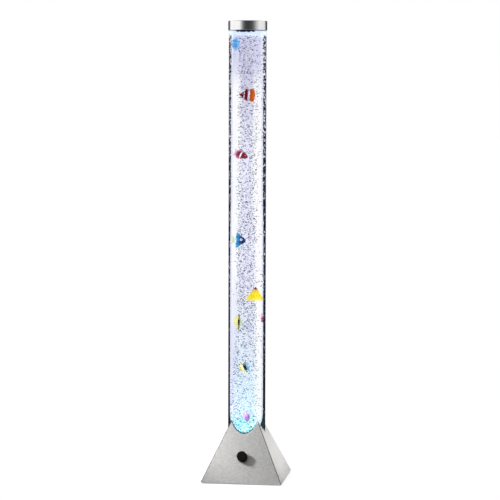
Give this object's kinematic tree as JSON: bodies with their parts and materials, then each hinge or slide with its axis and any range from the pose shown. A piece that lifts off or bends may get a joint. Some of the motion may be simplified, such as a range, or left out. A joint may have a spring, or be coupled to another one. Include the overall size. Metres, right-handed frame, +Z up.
{
  "type": "water column floor lamp",
  "caption": "Tall clear water tube with drifting toy fish and bubbles, on a brushed steel pyramid base with a control knob, under a metal cap.",
  "frame": {"origin": "on the floor, under the middle of the base", "axes": "+Z up along the tube, -Y towards the face with the control knob, +X to the right of that face"},
  "size_m": [0.215, 0.215, 1.218],
  "materials": {
    "brushed_shell": "brushed, slightly warm",
    "cap_metal": "satin polished",
    "clear_acrylic": "clear, polished",
    "black_plastic": "fine texture",
    "knob_black": "smooth",
    "grey_plastic": "moulded",
    "white_plastic": "moulded",
    "black_rubber": "matte",
    "silicone": "translucent",
    "zinc_steel": "zinc plated",
    "copper_wire": "enamelled copper",
    "green_board": "solder mask",
    "air_stone_grey": "porous mineral",
    "fish_sky_blue": "painted",
    "fish_orange_band": "painted",
    "fish_dark_red": "painted",
    "fish_deep_blue": "painted",
    "fish_yellow": "painted",
    "fish_magenta": "painted",
    "fish_lemon_bar": "painted",
    "fish_banner": "painted",
    "fish_violet": "painted"
  },
  "bodies": {
    "lamp": {"base_shell": "brushed_shell", "bottom_plate": "black_plastic", "rubber_foot_1": "black_rubber", "rubber_foot_2": "black_rubber", "rubber_foot_3": "black_rubber", "rubber_foot_4": "black_rubber", "plate_screw_1": "zinc_steel", "plate_screw_2": "zinc_steel", "plate_screw_3": "zinc_steel", "plate_screw_4": "zinc_steel", "leg_screw_1": "zinc_steel", "leg_screw_2": "zinc_steel", "leg_screw_3": "zinc_steel", "leg_screw_4": "zinc_steel", "tube_socket": "black_plastic", "led_board": "green_board", "water_tube": "clear_acrylic", "tube_plug": "clear_acrylic", "plug_seal": "black_rubber", "air_nozzle": "white_plastic", "nozzle_washer": "black_rubber", "nozzle_nut": "white_plastic", "air_stone": "air_stone_grey", "switch_body": "grey_plastic", "switch_nut": "zinc_steel", "power_inlet": "black_plastic", "inlet_nut": "zinc_steel", "control_board": "green_board", "pump_pad": "black_rubber", "pump_case": "white_plastic", "pump_lid": "white_plastic", "pump_core": "zinc_steel", "pump_bobbin": "white_plastic", "pump_coil": "copper_wire", "pump_pivot_pin": "zinc_steel", "pump_diaphragm": "black_rubber", "pump_chamber": "grey_plastic", "check_valve_body": "grey_plastic", "check_valve_cap": "white_plastic", "lower_hose": "silicone", "upper_hose": "silicone", "front_loom": "black_rubber", "rear_loom": "black_rubber"},
    "cap": {"cap_shell": "cap_metal", "cap_liner": "black_plastic"},
    "control": {"knob": "knob_black", "switch_shaft": "zinc_steel"},
    "armature": {"pump_arm": "zinc_steel", "pump_magnet": "black_plastic"},
    "valve_ball": {"check_valve_ball": "zinc_steel"},
    "fish_sky_blue": {"fish_sky_blue": "fish_sky_blue"},
    "fish_orange_band": {"fish_orange_band": "fish_orange_band"},
    "fish_dark_red": {"fish_dark_red": "fish_dark_red"},
    "fish_deep_blue": {"fish_deep_blue": "fish_deep_blue"},
    "fish_yellow": {"fish_yellow": "fish_yellow"},
    "fish_magenta": {"fish_magenta": "fish_magenta"},
    "fish_lemon_bar": {"fish_lemon_bar": "fish_lemon_bar"},
    "fish_banner": {"fish_banner": "fish_banner"},
    "fish_violet": {"fish_violet": "fish_violet"}
  },
  "joints": [
    {"name": "cap_lift", "type": "slide", "parent": "lamp", "child": "cap", "axis": [0, 0, 1], "range_m": [0, 0.06]},
    {"name": "knob_turn", "type": "hinge", "parent": "lamp", "child": "control", "pos_m": [0, -0.07862, 0.06742], "axis": [0, 0.9066, -0.4219], "range_deg": [-135, 135]},
    {"name": "armature_swing", "type": "hinge", "parent": "lamp", "child": "armature", "pos_m": [0.022, -0.004, 0.0506], "axis": [0, 1, 0], "range_deg": [-2, 2], "stiffness_Nm_per_rad": 3, "deforming": ["pump_diaphragm"]},
    {"name": "valve_ball_lift", "type": "slide", "parent": "lamp", "child": "valve_ball", "axis": [0, 0, 1], "range_m": [0, 0.0014]},
    {"name": "sky_blue_drift", "type": "slide", "parent": "lamp", "child": "fish_sky_blue", "axis": [0, 0, 1], "range_m": [-0.046, 0.004]},
    {"name": "orange_band_drift", "type": "slide", "parent": "lamp", "child": "fish_orange_band", "axis": [0, 0, 1], "range_m": [-0.06, 0.045]},
    {"name": "dark_red_drift", "type": "slide", "parent": "lamp", "child": "fish_dark_red", "axis": [0, 0, 1], "range_m": [-0.095, 0.055]},
    {"name": "deep_blue_drift", "type": "slide", "parent": "lamp", "child": "fish_deep_blue", "axis": [0, 0, 1], "range_m": [-0.053, 0.09]},
    {"name": "yellow_drift", "type": "slide", "parent": "lamp", "child": "fish_yellow", "axis": [0, 0, 1], "range_m": [-0.015, 0.048]},
    {"name": "magenta_drift", "type": "slide", "parent": "lamp", "child": "fish_magenta", "axis": [0, 0, 1], "range_m": [-0.047, 0.015]},
    {"name": "lemon_bar_drift", "type": "slide", "parent": "lamp", "child": "fish_lemon_bar", "axis": [0, 0, 1], "range_m": [-0.04, 0.015]},
    {"name": "banner_drift", "type": "slide", "parent": "lamp", "child": "fish_banner", "axis": [0, 0, 1], "range_m": [-0.047, 0.038]},
    {"name": "violet_drift", "type": "slide", "parent": "lamp", "child": "fish_violet", "axis": [0, 0, 1], "range_m": [-0.036, 0.043]}
  ]
}
